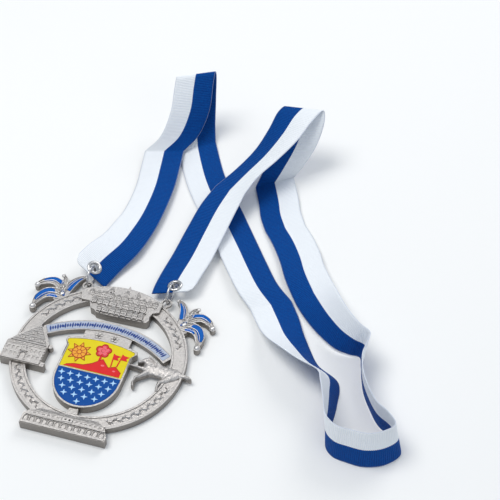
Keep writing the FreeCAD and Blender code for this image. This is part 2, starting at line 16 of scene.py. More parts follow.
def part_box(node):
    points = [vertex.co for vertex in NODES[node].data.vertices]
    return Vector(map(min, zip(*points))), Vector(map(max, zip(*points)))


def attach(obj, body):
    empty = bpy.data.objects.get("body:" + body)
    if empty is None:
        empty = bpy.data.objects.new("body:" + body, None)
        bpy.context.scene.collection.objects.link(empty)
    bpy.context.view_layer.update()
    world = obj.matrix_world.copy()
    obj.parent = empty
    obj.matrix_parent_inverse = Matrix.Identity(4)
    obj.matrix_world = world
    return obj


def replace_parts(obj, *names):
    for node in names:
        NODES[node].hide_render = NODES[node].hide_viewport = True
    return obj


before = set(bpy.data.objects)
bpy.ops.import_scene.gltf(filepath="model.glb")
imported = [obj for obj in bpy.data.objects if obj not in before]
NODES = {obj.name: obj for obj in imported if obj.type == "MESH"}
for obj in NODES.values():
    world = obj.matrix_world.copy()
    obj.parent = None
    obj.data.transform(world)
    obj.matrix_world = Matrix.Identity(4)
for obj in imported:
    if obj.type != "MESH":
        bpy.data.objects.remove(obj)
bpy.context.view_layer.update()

MM = 0.001

# ribbon
RIBBON_WIDTH = 0.022
RIBBON_THICK = 0.0005
RIBBON_STEP = 0.001
RIBBON_COLUMNS = 18
CORNER_ROUNDING = 0.005
# length over which the rounding at each end fades out
CORNER_FADE = 0.012
# spacing of the dense points along the route, and half the span that a direction is taken over
ROUTE_STEP = 0.0002
TANGENT_REACH = 0.0006
# flutter: waves along the edges, per metre, their height, and where they fade towards the ends
FLUTTER_RATE = 28
FLUTTER_HEIGHT = 0.0006
FLUTTER_FADE = 0.02
# the cloth's underside is kept this far above the table
TABLE_GAP = 0.0001
EYELET_ROWS = (1, -2)
EYELET_CLEARANCE = 0.0031
# rows where the strip is folded flat once, so its line turns a corner there
CREASES = (8, 16, 21, 25, 50, 54, 57, 66)

# The ribbon's route from its left end, round the neck loop, to its right end. Each row is the
# middle of the strip, then the heading and slope in degrees of its width, white edge to blue edge.
ROUTE = [
    (-0.0224, 0.0468, 0.0064, -19, -24), (-0.0211, 0.0512, 0.0064, -19, -24),
    (-0.0184, 0.059, 0.0066, -17, -20), (-0.014, 0.071, 0.006, -13, -9), (-0.012, 0.084, 0.0046, -7, -4),
    (-0.011, 0.098, 0.0032, -1, 4), (-0.0115, 0.119, 0.0026, 4, 6), (-0.0135, 0.134, 0.0028, 9, 4),
    (-0.0155, 0.147, 0.0032, 14, 2), (-0.009, 0.155, 0.009, 20, 0), (-0.005, 0.164, 0.0215, 19, 1),
    (-0.005, 0.172, 0.033, 19, 6), (-0.005, 0.1765, 0.0378, 19, 7), (-0.005, 0.178, 0.035, 19, 5),
    (-0.004, 0.173, 0.022, 21, 2), (-0.002, 0.165, 0.009, 30, 0), (0.001, 0.157, 0.0016, 38, 1),
    (0.006, 0.147, 0.0006, 30, 0), (0.013, 0.134, 0.0006, 33, 0), (0.021, 0.122, 0.0006, 37, 0),
    (0.03, 0.1105, 0.0006, 37, 0), (0.038, 0.099, 0.001, 35, -1), (0.045, 0.089, 0.0018, 35, -5),
    (0.054, 0.076, 0.0024, 36, -6), (0.063, 0.064, 0.003, 36, -8), (0.072, 0.056, 0.0018, 32, -2),
    (0.078, 0.047, 0.0025, 32, -5), (0.0845, 0.036, 0.006, 35, -21), (0.092, 0.028, 0.0076, 42, -39),
    (0.1, 0.0205, 0.0093, 50, -51), (0.1115, 0.0145, 0.0098, 39, -56), (0.1142, 0.005, 0.0106, 8, -66),
    (0.116, -0.005, 0.0112, -4, -74), (0.118, -0.0165, 0.0112, -40, -84),
    (0.123, -0.021, 0.0112, -85, -84), (0.13, -0.022, 0.0112, -89, -81),
    (0.138, -0.022, 0.0112, -85, -79), (0.146, -0.0185, 0.0112, -50, -77),
    (0.151, -0.012, 0.0112, -12, -77), (0.1465, -0.006, 0.0114, 14, -80), (0.139, -0.001, 0.0114, 26, -83),
    (0.133, 0.007, 0.0114, 29, -84), (0.1285, 0.0155, 0.0114, 27, -86), (0.126, 0.024, 0.0114, 20, -88),
    (0.1255, 0.032, 0.0114, 184, -84), (0.1245, 0.037, 0.0113, 180, -80),
    (0.119, 0.0385, 0.0118, 219, -76), (0.1125, 0.042, 0.0116, 236, -63),
    (0.105, 0.049, 0.0104, 236, -50), (0.0985, 0.0575, 0.0076, 230, -36),
    (0.0915, 0.0675, 0.0046, 224, -18), (0.0835, 0.08, 0.004, 216, -6), (0.078, 0.091, 0.003, 211, -4),
    (0.0715, 0.1015, 0.0022, 209, -3), (0.065, 0.11, 0.0014, 205, -3), (0.06, 0.119, 0.0014, 205, -4),
    (0.0565, 0.128, 0.0016, 207, -5), (0.0505, 0.1415, 0.0018, 211, -5), (0.054, 0.1455, 0.009, 207, 4),
    (0.0595, 0.154, 0.022, 194, 0), (0.061, 0.1645, 0.0315, 184, -8),
    (0.0595, 0.1685, 0.0354, 176, -10),
    (0.056, 0.163, 0.034, 165, -10), (0.0515, 0.153, 0.0275, 150, -14), (0.045, 0.143, 0.0198, 141, -22),
    (0.037, 0.132, 0.0135, 143, -26), (0.031, 0.121, 0.01, 156, -20), (0.028, 0.108, 0.0078, 167, -13),
    (0.026, 0.092, 0.0056, 174, -10), (0.0245, 0.074, 0.0046, 180, -9), (0.023, 0.059, 0.0056, 189, -8),
    (0.0226, 0.0512, 0.0062, 194, -8), (0.0229, 0.0468, 0.0062, 194, -8),
]

# medal, millimetres
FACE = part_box("town_plaque")[1].z / MM
RIM_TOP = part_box("rim_ring")[1].z / MM
RIM_MIDDLE = 39.55
RIM_FLOOR = RIM_TOP - 0.6
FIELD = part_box("shield_upper_enamel")[1].z / MM
SUN_CENTRE = (-9.6, -0.8)
TREE_CENTRE = (1.6, 3.0)
VINE_PITCH = 3.3
# how far the plaques' details are let into their faces
DETAIL_SINK = 0.3
RIGHT_CAP_TURN = -4.0
TABLET_ROSETTES_X = (-4.4, 3.8)
TABLET_ROSETTES_Y = 12.4
# along each horn: share of the half width, half width of the ridge, and its rise
RIDGES = [(0.93, 0.26, 0.85), (0.0, 0.24, 0.85), (-0.45, 0.16, 0.6), (-0.93, 0.26, 0.8)]
# the left cap's horns: middle line from root to tip, and widths along it
HORNS = [
    ([(-31, 31.5), (-30, 37), (-28.3, 41.5), (-26, 44.6), (-23.8, 45.9)], [5.5, 5, 4.2, 2.8, 1.4]),
    ([(-32.5, 34), (-33, 39), (-33.7, 42.2), (-35.2, 43.8)], [3.5, 3, 2.2, 1.2]),
    ([(-32, 33.5), (-35, 37.6), (-39, 39.4), (-43, 38), (-45.8, 35.6)], [5, 5.4, 5, 3.8, 2.2]),
    ([(-31, 31), (-35.5, 31.8), (-39.6, 30.8), (-42.4, 27), (-43.3, 22.4)], [5.5, 6.4, 6.2, 4.8, 2.2]),
]

# camera: it looks at a point on the table between the medal and the ribbon's loops
AIM = Vector((0.0509, 0.0909, 0.0))
AZIMUTH, ELEVATION, DISTANCE = 16.05, 47.92, 0.6907
LENS, SENSOR = 94.05, 36.0


# ---------------------------------------------------------------- materials

class Finish:
    """One node-based material, with short calls for the nodes that every finish uses."""

    def __init__(self, name, **settings):
        self.material = bpy.data.materials.new(name)
        self.material.use_nodes = True
        self.tree = self.material.node_tree
        self.shader = self.tree.nodes["Principled BSDF"]
        self.coords = self.tree.nodes.new("ShaderNodeTexCoord")
        for socket, value in settings.items():
            self.shader.inputs[socket.replace("_", " ")].default_value = value

    def plug(self, socket, value):
        if hasattr(value, "is_output"):
            self.tree.links.new(value, socket)
        else:
            socket.default_value = value

    def math(self, operation, a, b=0.0):
        node = self.tree.nodes.new("ShaderNodeMath")
        node.operation = operation
        self.plug(node.inputs[0], a)
        self.plug(node.inputs[1], b)
        return node.outputs[0]

    def noise(self, scale, detail=3.0, roughness=0.55, where=None):
        node = self.tree.nodes.new("ShaderNodeTexNoise")
        self.plug(node.inputs["Vector"], where or self.coords.outputs["Object"])
        node.inputs["Scale"].default_value = scale
        node.inputs["Detail"].default_value = detail
        node.inputs["Roughness"].default_value = roughness
        return node.outputs["Fac"]

    def scratches(self, scale, stretch):
        """Noise drawn out along X, as fine directional wear."""
        mapping = self.tree.nodes.new("ShaderNodeMapping")
        mapping.inputs["Scale"].default_value = (1, stretch, stretch)
        self.plug(mapping.inputs["Vector"], self.coords.outputs["Object"])
        return self.noise(scale, 2.0, 0.6, mapping.outputs["Vector"])

    def spread(self, value, low, high, out_low=0.0, out_high=1.0):
        node = self.tree.nodes.new("ShaderNodeMapRange")
        node.interpolation_type = "SMOOTHSTEP"
        for socket, number in zip(node.inputs[1:5], (low, high, out_low, out_high)):
            socket.default_value = number
        self.plug(node.inputs[0], value)
        return node.outputs[0]

    def mix(self, share, a, b):
        node = self.tree.nodes.new("ShaderNodeMix")
        node.data_type = "RGBA"
        self.plug(node.inputs[0], share)
        self.plug(node.inputs[6], a)
        self.plug(node.inputs[7], b)
        return node.outputs[2]

    def hollow(self, reach):
        """0 in corners and recesses narrower than reach, 1 on open faces."""
        node = self.tree.nodes.new("ShaderNodeAmbientOcclusion")
        node.samples = 8
        node.inputs["Distance"].default_value = reach
        return node.outputs["AO"]

    def facing_up(self):
        """1 on the medal's face and back, 0 on its side walls."""
        split = self.tree.nodes.new("ShaderNodeSeparateXYZ")
        self.plug(split.inputs[0], self.coords.outputs["Normal"])
        return self.math("ABSOLUTE", split.outputs["Z"])

    def bump(self, height, distance, below=None):
        node = self.tree.nodes.new("ShaderNodeBump")
        node.inputs["Strength"].default_value = 1.0
        node.inputs["Distance"].default_value = distance
        self.plug(node.inputs["Height"], height)
        if below is not None:
            self.plug(node.inputs["Normal"], below)
        return node.outputs["Normal"]

    def set(self, socket, value):
        self.plug(self.shader.inputs[socket], value)


def rgb(red, green, blue):
    return (red, green, blue, 1.0)


def cast_metal(name, bright, dark, grain_depth, polish):
    """Relieved antique silver: bright rubbed faces, dark oxide in the recesses, and painted shade
    darkening the side walls.
    """
    f = Finish(name, Metallic=1.0)
    grain = f.noise(2400, 3, 0.6)
    pits = f.spread(f.noise(900, 4, 0.65), 0.38, 0.6)
    patches = f.noise(130, 3, 0.5)
    open_face = f.spread(f.hollow(1.2 * MM), 0.15, 0.8)
    # painted shade: the side walls are darkened by the way they face, not by oxide
    wall = f.spread(f.facing_up(), 0.15, 0.7)
    wear_and_wall_shade = f.math("MULTIPLY", open_face, wall)
    wear_and_wall_shade = f.math("MULTIPLY", wear_and_wall_shade, f.spread(pits, 0.0, 1.0, 0.82, 1.0))
    tint = f.mix(patches, rgb(*bright), rgb(*[channel * 0.86 for channel in bright]))
    f.set("Base Color", f.mix(wear_and_wall_shade, rgb(*dark), tint))
    f.set("Roughness", f.spread(grain, 0.25, 0.75, polish, polish + 0.16))
    f.set("Normal", f.bump(grain, grain_depth, f.bump(pits, grain_depth * 1.4)))
    return f.material


def bright_metal(name, colour):
    """Nickel plate with fine wear and a little painted shade darkening its corners and holes."""
    f = Finish(name, Metallic=1.0)
    wear = f.scratches(700, 6)
    # painted shade: near-black in corners and inside the eyelet holes
    unshaded_open_face = f.spread(f.hollow(2.2 * MM), 0.3, 0.95)
    f.set("Base Color", f.mix(unshaded_open_face, rgb(0.05, 0.042, 0.038), rgb(*colour)))
    f.set("Roughness", f.spread(wear, 0.3, 0.8, 0.24, 0.36))
    f.set("Normal", f.bump(wear, 0.000004))
    return f.material


def enamel(name, colour, edge):
    """Soft enamel: a glassy fill, a shade deeper where it meets the metal, faintly uneven."""
    f = Finish(name, Coat_Weight=0.12, Coat_Roughness=0.1, Specular_IOR_Level=0.3)
    clouds = f.noise(260, 3, 0.5)
    specks = f.spread(f.noise(2600, 2, 0.6), 0.62, 0.75)
    rim = f.spread(f.hollow(0.9 * MM), 0.45, 0.95)
    body = f.mix(clouds, rgb(*colour), rgb(*[min(1.0, c * 1.12 + 0.006) for c in colour]))
    body = f.mix(specks, body, rgb(*[min(1.0, c * 1.2 + 0.015) for c in colour]))
    f.set("Base Color", f.mix(rim, rgb(*edge), body))
    f.set("Roughness", f.spread(clouds, 0.3, 0.7, 0.18, 0.27))
    f.set("Normal", f.bump(f.noise(700, 2, 0.4), 0.000008))
    return f.material


def ribbon_cloth_finish():
    """Ribbed two-colour weave. The UV map runs across the strip, then along it in millimetres."""
    f = Finish("ribbed_ribbon", Sheen_Weight=0.02, Sheen_Roughness=0.5, Specular_IOR_Level=0.1)
    weave = f.tree.nodes.new("ShaderNodeUVMap")
    weave.uv_map = "weave"
    split = f.tree.nodes.new("ShaderNodeSeparateXYZ")
    f.plug(split.inputs[0], weave.outputs["UV"])
    across, along = split.outputs["X"], split.outputs["Y"]
    rib_pitch, thread_pitch, stagger = 0.95, 0.42, 0.004
    rib = f.math("SINE", f.math("MULTIPLY", along, math.tau / rib_pitch))
    thread = f.math("SINE", f.math("MULTIPLY", across, math.tau * 22.0 / thread_pitch))
    yarn = f.noise(1500, 3, 0.6)
    fading = f.noise(45, 3, 0.5)
    # the two stripes interlock along the middle, one rib at a time
    seam = f.math("ADD", across, f.math("MULTIPLY", rib, stagger))
    blue_side = f.spread(seam, 0.494, 0.506)
    # painted shade: each rib's groove takes a darker copy of the cloth colour
    rib_groove_shade = f.spread(rib, -1.0, 0.5)
    blue = f.mix(rib_groove_shade, rgb(0.0004, 0.036, 0.19), rgb(0.0006, 0.062, 0.30))
    blue = f.mix(f.spread(yarn, 0.35, 0.8), blue, rgb(0.001, 0.080, 0.35))
    white = f.mix(rib_groove_shade, rgb(0.88, 0.925, 0.985), rgb(0.945, 0.97, 0.998))
    white = f.mix(f.spread(fading, 0.4, 0.75), white, rgb(0.92, 0.95, 0.99))
    cloth = f.mix(blue_side, white, blue)
    # each selvedge is one thread that the weft turns round, tinted with the lavender of shaded white
    # cloth: painted shade on the white edge, painted highlight on the blue edge
    to_edge = f.math("MINIMUM", across, f.math("SUBTRACT", 1.0, across))
    selvedge_and_edge_shade = f.spread(to_edge, 0.008, 0.02, 1.0, 0.0)
    f.set("Base Color", f.mix(f.math("MULTIPLY", selvedge_and_edge_shade, 0.4), cloth, rgb(0.50, 0.56, 0.74)))
    f.set("Roughness", f.spread(yarn, 0.2, 0.8, 0.62, 0.84))
    ribs = f.bump(f.math("MULTIPLY", rib, 0.5), 0.00014)
    threads = f.bump(f.math("MULTIPLY", thread, 0.5), 0.00005, ribs)
    f.set("Normal", f.bump(yarn, 0.00008, threads))
    return f.material


def floor_finish():
    f = Finish("paper_floor", Roughness=0.9)
    f.set("Base Color", f.mix(f.noise(3, 2), rgb(0.925, 0.922, 0.915), rgb(0.94, 0.937, 0.928)))
    f.set("Normal", f.bump(f.noise(900, 2), 0.00002))
    return f.material


# ---------------------------------------------------------------- mesh helpers

def add_mesh(name, verts, faces, material, smooth=False):
    mesh = bpy.data.meshes.new(name)
    mesh.from_pydata([tuple(v) for v in verts], [], faces)
    mesh.validate()
    mesh.materials.append(material)
    for polygon in mesh.polygons:
        polygon.use_smooth = smooth
    piece = bpy.data.objects.new(name, mesh)
    bpy.context.scene.collection.objects.link(piece)
    return piece


def modifier(piece, kind, **settings):
    added = piece.modifiers.new(kind.lower(), kind)
    for key, value in settings.items():
        setattr(added, key, value)


def apply_modifiers(piece):
    """Freezes the piece's modifiers into its own mesh."""
    graph = bpy.context.evaluated_depsgraph_get()
    mesh = bpy.data.meshes.new_from_object(piece.evaluated_get(graph))
    piece.modifiers.clear()
    piece.data = mesh


def soften(piece, width):
    """Rounds the sharp edges by a few tenths of a millimetre, as casting leaves them."""
    modifier(piece, "WELD", merge_threshold=1e-6)
    modifier(piece, "BEVEL", width=width * MM, segments=2, limit_method="ANGLE",
             angle_limit=math.radians(32), harden_normals=True)
    piece.data.shade_smooth()


def arc(x, y, radius, start, stop, steps):
    turn = (stop - start) / steps
    angles = [math.radians(start + turn * i) for i in range(steps + 1)]
    return [(x + radius * math.cos(a), y + radius * math.sin(a)) for a in angles]


def polar(radius, degrees):
    """Point at that many degrees counterclockwise from +Y about the medal's centre."""
    a = math.radians(degrees)
    return -radius * math.sin(a), radius * math.cos(a)


class Relief:
    """Gathers closed bits of cast detail, in millimetres, and makes them one piece."""

    def __init__(self):
        self.verts = []
        self.faces = []

    def add(self, verts, faces):
        first = len(self.verts)
        self.verts += verts
        self.faces += [[first + i for i in face] for face in faces]

    def prism(self, outline, low, high, draft=0.0):
        """Closed prism on a counterclockwise outline, its top drawn in by the draft."""
        count = len(outline)
        cx = sum(x for x, _ in outline) / count
        cy = sum(y for _, y in outline) / count
        top = []
        for x, y in outline:
            reach = math.hypot(x - cx, y - cy)
            keep = max(0.0, 1 - draft / reach) if reach else 1.0
            top.append((cx + (x - cx) * keep, cy + (y - cy) * keep, high))
        base = [(x, y, low) for x, y in outline]
        sides = [[i, (i + 1) % count, count + (i + 1) % count, count + i] for i in range(count)]
        self.add(base + top, [list(range(count))[::-1], list(range(count, 2 * count))] + sides)

    def block(self, x0, x1, y0, y1, low, high, draft=0.06):
        self.prism([(x0, y0), (x1, y0), (x1, y1), (x0, y1)], low, high, draft)

    def slope(self, corners, low, heights):
        """Closed prism whose top corners each have their own height."""
        count = len(corners)
        base = [(x, y, low) for x, y in corners]
        top = [(x, y, z) for (x, y), z in zip(corners, heights)]
        sides = [[i, (i + 1) % count, count + (i + 1) % count, count + i] for i in range(count)]
        self.add(base + top, [list(range(count))[::-1], list(range(count, 2 * count))] + sides)

    def band(self, centre, half_width, low, high, closed=False, tapers=False):
        """Raised strip along a line, with a rounded top."""
        count = len(centre)
        verts, faces = [], []
        for i, (x, y) in enumerate(centre):
            before = centre[(i - 1) % count if closed else max(i - 1, 0)]
            after = centre[(i + 1) % count if closed else min(i + 1, count - 1)]
            dx, dy = after[0] - before[0], after[1] - before[1]
            length = math.hypot(dx, dy) or 1.0
            share = 1.0 - 0.75 * abs(2 * i / (count - 1) - 1) ** 2 if tapers else 1.0
            nx, ny = -dy / length * half_width * share, dx / length * half_width * share
            rise = high - low
            verts += [(x + nx, y + ny, low), (x + nx * 0.8, y + ny * 0.8, low + rise * 0.7),
                      (x, y, high), (x - nx * 0.8, y - ny * 0.8, low + rise * 0.7),
                      (x - nx, y - ny, low)]
        for i in range(count if closed else count - 1):
            a, b = 5 * i, 5 * ((i + 1) % count)
            faces += [[a + k, a + (k + 1) % 5, b + (k + 1) % 5, b + k] for k in range(5)]
        if not closed:
            last = 5 * (count - 1)
            faces += [[4, 3, 2, 1, 0], [last, last + 1, last + 2, last + 3, last + 4]]
        self.add(verts, faces)

    def dome(self, x, y, radius, low, rise, sides=12, rings=4, stretch=1.0):
        """Half ball, flattened to the rise."""
        verts, faces = [], []
        for ring in range(rings):
            a = math.pi / 2 * ring / rings
            reach, z = radius * math.cos(a), low + rise * math.sin(a)
            for k in range(sides):
                turn = math.tau * k / sides
                verts.append((x + reach * math.cos(turn), y + reach * stretch * math.sin(turn), z))
        verts.append((x, y, low + rise))
        tip = len(verts) - 1
        for ring in range(rings):
            for k in range(sides):
                a, b = ring * sides + k, ring * sides + (k + 1) % sides
                if ring == rings - 1:
                    faces.append([a, b, tip])
                else:
                    faces.append([a, b, b + sides, a + sides])
        faces.append(list(range(sides))[::-1])
        self.add(verts, faces)

    def wall(self, x, y, width, height, low, high, columns, storeys, recess=0.3):
        """House wall with rows of sunk windows."""
        xs = [x + width * i / (2 * columns + 1) for i in range(2 * columns + 2)]
        ys = [y + height * j / (2 * storeys + 1) for j in range(2 * storeys + 2)]
        across = len(xs)
        verts = [(px, py, high) for py in ys for px in xs]
        faces = []
        for j in range(len(ys) - 1):
            for i in range(across - 1):
                corners = [j * across + i, j * across + i + 1, (j + 1) * across + i + 1,
                           (j + 1) * across + i]
                if not (i % 2 and j % 2):
                    faces.append(corners)
                    continue
                first = len(verts)
                verts += [(verts[c][0], verts[c][1], high - recess) for c in corners]
                faces.append([first, first + 1, first + 2, first + 3])
                for k in range(4):
                    m = (k + 1) % 4
                    faces.append([corners[k], corners[m], first + m, first + k])
        rows = len(ys)
        foot = len(verts)
        verts += [(xs[0], ys[0], low), (xs[-1], ys[0], low), (xs[-1], ys[-1], low), (xs[0], ys[-1], low)]
        south = list(range(across))
        east = [j * across + across - 1 for j in range(rows)]
        north = [(rows - 1) * across + i for i in reversed(range(across))]
        west = [j * across for j in reversed(range(rows))]
        for k, edge in enumerate((south, east, north, west)):
            faces.append([foot + k, foot + (k + 1) % 4] + edge[::-1])
        faces.append([foot + 3, foot + 2, foot + 1, foot])
        self.add(verts, faces)

    def roof(self, left, right, y, top_left, top_right, rise, low, high, courses):
        """Sloping roof of overlapping courses, each standing a little over the next one up."""
        for k in range(courses):
            a, b = k / courses, (k + 1) / courses
            x0, x1 = left + (top_left - left) * a, right + (top_right - right) * a
            x2, x3 = right + (top_right - right) * b, left + (top_left - left) * b
            corners = [(x0, y + rise * a), (x1, y + rise * a), (x2, y + rise * b), (x3, y + rise * b)]
            self.slope(corners, low, [high, high, high - 0.18, high - 0.18])

    def piece(self, name, material, body="medal", edge=0.07, smooth=False):
        verts = [(x * MM, y * MM, z * MM) for x, y, z in self.verts]
        made = add_mesh(name, verts, self.faces, material, smooth)
        if edge:
            modifier(made, "BEVEL", width=edge * MM, segments=1, limit_method="ANGLE",
                     angle_limit=math.radians(35))
        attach(made, body)
        return made


# ---------------------------------------------------------------- ribbon

def spline(data, step):
    """Centripetal Catmull-Rom pieces through the rows of one stretch between creases."""
    ends = np.vstack([2 * data[0] - data[1], data, 2 * data[-1] - data[-2]])
    gaps = np.linalg.norm(np.diff(ends[:, :3], axis=0), axis=1)
    knots = np.concatenate([[0], np.cumsum(np.sqrt(gaps))])
    parts = []
    for i in range(1, len(ends) - 2):
        p0, p1, p2, p3 = ends[i - 1:i + 3]
        t0, t1, t2, t3 = knots[i - 1:i + 3]
        count = max(4, int(np.linalg.norm(p2[:3] - p1[:3]) / step))
        t = np.linspace(t1, t2, count, endpoint=False)[:, None]
        a1 = (t1 - t) / (t1 - t0) * p0 + (t - t0) / (t1 - t0) * p1
        a2 = (t2 - t) / (t2 - t1) * p1 + (t - t1) / (t2 - t1) * p2
        a3 = (t3 - t) / (t3 - t2) * p2 + (t - t2) / (t3 - t2) * p3
        b1 = (t2 - t) / (t2 - t0) * a1 + (t - t0) / (t2 - t0) * a2
        b2 = (t3 - t) / (t3 - t1) * a2 + (t - t1) / (t3 - t1) * a3
        parts.append((t2 - t) / (t2 - t1) * b1 + (t - t1) / (t2 - t1) * b2)
    return parts


def route_lines():
    """Dense arrays down the strip: distance along it, middle points and width directions."""
    rows = np.array(ROUTE, float)
    heading, slope = np.radians(rows[:, 3]), np.radians(rows[:, 4])
    width = np.stack([np.cos(heading) * np.cos(slope), np.sin(heading) * np.cos(slope),
                      np.sin(slope)], 1)
    data = np.hstack([rows[:, :3], width * (RIBBON_WIDTH / 2)])
    parts = []
    corners = [0] + list(CREASES) + [len(data) - 1]
    for first, last in zip(corners, corners[1:]):
        parts += spline(data[first:last + 1], ROUTE_STEP)
    line = np.vstack(parts + [data[-1:]])
    distance = np.concatenate([[0], np.cumsum(np.linalg.norm(np.diff(line[:, :3], axis=0), axis=1))])
    return distance, line[:, :3], line[:, 3:]


def along(distance, values, s):
    return np.stack([np.interp(s, distance, values[:, k]) for k in range(3)], -1)


def unit(vectors):
    return vectors / np.linalg.norm(vectors, axis=-1, keepdims=True)


def ribbon_frame(distance, middle, width, s):
    """Middle, width direction and face normal of the strip at distances s."""
    ahead = along(distance, middle, s + TANGENT_REACH)
    tangent = ahead - along(distance, middle, s - TANGENT_REACH)
    across = unit(along(distance, width, s))
    return along(distance, middle, s), across, unit(np.cross(across, tangent))


def ribbon_cloth(material):
    """The woven strip: both faces, rounded outer corners at its ends, faint cupping and flutter."""
    distance, middle, width = route_lines()
    total = distance[-1]
    rows = int(total / RIBBON_STEP)
    u = np.linspace(0, 1, RIBBON_COLUMNS)
    corner = CORNER_ROUNDING / RIBBON_WIDTH
    inward = np.clip(1 - u / corner, 0, 1)
    trim = CORNER_ROUNDING * (1 - np.sqrt(1 - inward ** 2))
    s = np.linspace(0, total, rows)[:, None] + 0 * u[None, :]
    s = s + trim[None, :] * np.clip(1 - s / CORNER_FADE, 0, 1)
    s = s - trim[None, :] * np.clip(1 - (total - s) / CORNER_FADE, 0, 1)
    points, across, normal = ribbon_frame(distance, middle, width, s)
    offset = (u[None, :, None] - 0.5) * RIBBON_WIDTH
    flutter = np.array([[noise.noise(Vector((a * FLUTTER_RATE, 0.7 * edge, 3.1))) for edge in (0, 1)]
                        for a in s[:, 0]])
    lift = flutter[:, :1] * (1 - 2 * u[None, :]) ** 2 * np.where(u[None, :] < 0.5, 1, 0)
    lift = lift + flutter[:, 1:] * (2 * u[None, :] - 1) ** 2 * np.where(u[None, :] >= 0.5, 1, 0)
    near_end = np.clip(np.minimum(s, total - s) / FLUTTER_FADE, 0, 1)
    surface = points + across * offset + normal * (lift * near_end * FLUTTER_HEIGHT)[..., None]
    thin = RIBBON_THICK / 2 * (1 - 0.35 * np.abs(2 * u - 1) ** 8)
    faces_up = surface + normal * thin[None, :, None]
    faces_down = surface - normal * thin[None, :, None]
    verts = np.concatenate([faces_up.reshape(-1, 3), faces_down.reshape(-1, 3)])
    verts[:, 2] = np.maximum(verts[:, 2], TABLE_GAP)
    columns, layer = RIBBON_COLUMNS, rows * RIBBON_COLUMNS
    faces = []
    for i in range(rows - 1):
        for j in range(columns - 1):
            a = i * columns + j
            faces.append([a, a + 1, a + columns + 1, a + columns])
            faces.append([layer + a, layer + a + columns, layer + a + columns + 1, layer + a + 1])
        for a in (i * columns, i * columns + columns - 1):
            faces.append([a, a + columns, layer + a + columns, layer + a])
    for a in [j for j in range(columns - 1)] + [(rows - 1) * columns + j for j in range(columns - 1)]:
        faces.append([a, a + 1, layer + a + 1, layer + a])
    piece = add_mesh("ribbon_cloth", verts, faces, material, smooth=True)
    cloth_uv(piece, u, s, layer)
    outward(piece)
    punch(piece)
    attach(piece, "ribbon")
    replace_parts(piece, "ribbon")


def cloth_uv(piece, u, s, layer):
    """UV map called weave: across the strip from 0 to 1, and along it in millimetres."""
    uv = piece.data.uv_layers.new(name="weave")
    corners = np.zeros(len(piece.data.loops), int)
    piece.data.loops.foreach_get("vertex_index", corners)
    grid = corners % layer
    columns = len(u)
    values = np.stack([u[grid % columns], s[grid // columns, grid % columns] / MM], 1)
    uv.data.foreach_set("uv", values.astype(np.float32).ravel())


def outward(piece):
    """Turns every face to look out of its closed shell."""
    shell = bmesh.new()
    shell.from_mesh(piece.data)
    bmesh.ops.recalc_face_normals(shell, faces=shell.faces)
    shell.to_mesh(piece.data)
    shell.free()


def punch(piece):
    """Opens the strip under each eyelet's flange."""
    rows = np.array(ROUTE, float)[:, :3]
    shell = bmesh.new()
    shell.from_mesh(piece.data)
    for row in EYELET_ROWS:
        centre = Vector(rows[row])
        inside = [f for f in shell.faces if (f.calc_center_median() - centre).length < EYELET_CLEARANCE]
        bmesh.ops.delete(shell, geom=inside, context="FACES")
    shell.to_mesh(piece.data)
    shell.free()


def turned_eyelet(name, row, metal):
    """Eyelet with its rolled flange and the washer that it is clenched over, as one turned shape."""
    profile = [(2.3, -0.62), (2.3, 0.58), (2.42, 0.78), (2.7, 0.9), (3.1, 0.9), (3.5, 0.78),
               (3.8, 0.56), (3.9, 0.36), (3.72, 0.24), (2.75, 0.24), (2.75, -0.24), (3.82, -0.24),
               (3.9, -0.4), (3.7, -0.56), (3.2, -0.6), (2.85, -0.78), (2.5, -0.82), (2.36, -0.76)]
    rows = np.array(ROUTE, float)
    centre = Vector(rows[row, :3])
    before, after = Vector(rows[row - 1, :3]), Vector(rows[row + 1, :3])
    heading, slope = np.radians(rows[row, 3:])
    across = Vector((math.cos(heading) * math.cos(slope), math.sin(heading) * math.cos(slope),
                     math.sin(slope)))
    normal = across.cross(after - before).normalized()
    along_strip = normal.cross(across).normalized()
    sides = 56
    verts, faces = [], []
    for k in range(sides):
        a = math.tau * k / sides
        spoke = across * math.cos(a) + along_strip * math.sin(a)
        verts += [centre + (spoke * r + normal * z) * MM for r, z in profile]
    count = len(profile)
    for k in range(sides):
        a, b = k * count, (k + 1) % sides * count
        faces += [[a + i, b + i, b + (i + 1) % count, a + (i + 1) % count] for i in range(count)]
    piece = add_mesh(name, verts, faces, metal, smooth=True)
    outward(piece)
    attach(piece, "ribbon")
    return piece


# ---------------------------------------------------------------- castings

def smooth_line(points, steps=6):
    """Catmull-Rom line through given points in the plane."""
    ends = [points[0]] + list(points) + [points[-1]]
    line = []
    for i in range(1, len(ends) - 2):
        p0, p1, p2, p3 = (Vector(p) for p in ends[i - 1:i + 3])
        for k in range(steps):
            t = k / steps
            line.append(tuple(0.5 * (2 * p1 + (p2 - p0) * t + (2 * p0 - 5 * p1 + 4 * p2 - p3) * t * t
                                     + (3 * p1 - p0 - 3 * p2 + p3) * t ** 3)))
    return line + [tuple(points[-1])]


